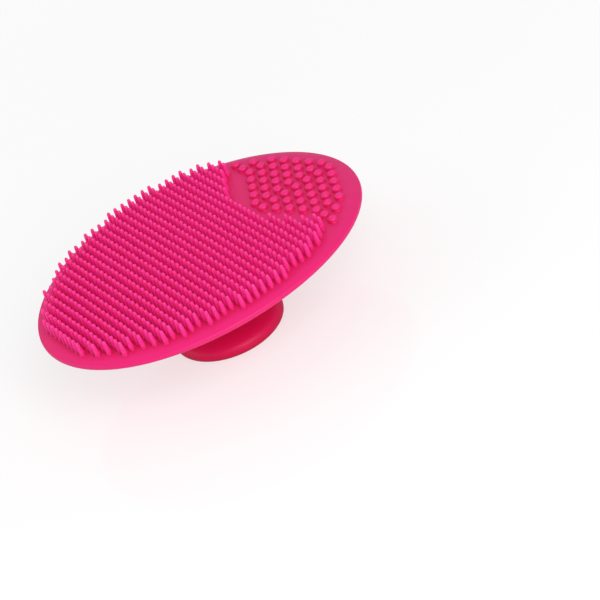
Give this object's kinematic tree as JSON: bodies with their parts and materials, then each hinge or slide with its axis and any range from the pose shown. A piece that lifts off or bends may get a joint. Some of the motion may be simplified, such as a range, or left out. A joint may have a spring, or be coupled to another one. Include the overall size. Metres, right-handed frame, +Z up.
{
  "type": "facial cleansing brush",
  "caption": "Oval soft silicone face brush with fine bristles and massage nubs, on a short flexible neck and a suction-cup foot that serves as finger grip.",
  "frame": {"origin": "centre of the ring on which the foot stands, on the neck's axis", "axes": "+Z up the neck, +X towards the nub end of the pad, +Y across the pad"},
  "size_m": [0.08, 0.0644, 0.0256],
  "materials": {
    "silicone_body": "satin moulded silicone, hot pink",
    "silicone_bristles": "satin moulded silicone, hot pink, slightly glossy tips"
  },
  "bodies": {
    "lip": {"suction_lip": "silicone_body", "cup_wall": "silicone_body"},
    "crown": {"neck_base": "silicone_body"},
    "neck": {"neck_middle": "silicone_body"},
    "head": {"neck_top": "silicone_body", "pad_centre": "silicone_body", "bristles_centre": "silicone_bristles", "nubs_inner": "silicone_bristles"},
    "tail": {"pad_tail": "silicone_body", "bristles_tail": "silicone_bristles"},
    "nose": {"pad_nose": "silicone_body", "nubs_nose": "silicone_bristles"}
  },
  "joints": [
    {"name": "cup_press", "type": "slide", "parent": "lip", "child": "crown", "axis": [0, 0, -1], "range_m": [0, 0.0016], "stiffness_N_per_m": 800, "deforming": ["cup_wall"]},
    {"name": "neck_roll", "type": "hinge", "parent": "crown", "child": "neck", "pos_m": [0, 0, 0.0094], "axis": [1, 0, 0], "range_deg": [-15, 15], "stiffness_Nm_per_rad": 0.008},
    {"name": "neck_pitch", "type": "hinge", "parent": "neck", "child": "head", "pos_m": [0, 0, 0.0126], "axis": [0, 1, 0], "range_deg": [-15, 15], "stiffness_Nm_per_rad": 0.008},
    {"name": "tail_flex", "type": "hinge", "parent": "head", "child": "tail", "pos_m": [-0.02375, 0, 0.0198], "axis": [0, 1, 0], "range_deg": [-12, 12], "stiffness_Nm_per_rad": 0.02},
    {"name": "nose_flex", "type": "hinge", "parent": "head", "child": "nose", "pos_m": [0.0248, 0, 0.0198], "axis": [0, 1, 0], "range_deg": [-12, 12], "stiffness_Nm_per_rad": 0.02}
  ]
}
